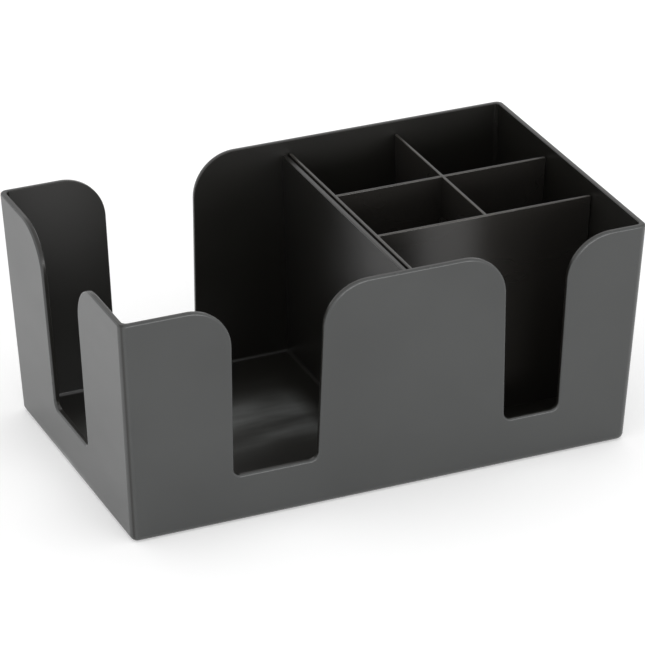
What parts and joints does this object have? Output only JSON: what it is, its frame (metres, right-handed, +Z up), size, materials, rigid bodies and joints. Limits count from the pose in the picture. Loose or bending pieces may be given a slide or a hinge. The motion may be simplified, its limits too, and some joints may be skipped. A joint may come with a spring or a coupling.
{
  "type": "bar caddy",
  "caption": "Open moulded bar caddy: a napkin bay with finger cut-outs beside a lift-out rack of plates that divides the other half into cells and an open front bay.",
  "frame": {"origin": "middle of the base, at the height of the surface it stands on", "axes": "+X along the length from the napkin bay to the divider rack, +Y from the front wall to the back wall, +Z up"},
  "size_m": [0.2398, 0.1448, 0.1042],
  "materials": {
    "caddy_plastic": "satin black, finely textured",
    "rack_plastic": "satin black, finely textured"
  },
  "bodies": {
    "caddy": {"caddy_body": "caddy_plastic"},
    "rack": {"divider_rack": "rack_plastic"}
  },
  "joints": [
    {"name": "rack_lift", "type": "slide", "parent": "caddy", "child": "rack", "axis": [0, 0, 1], "range_m": [0, 0.11]}
  ]
}
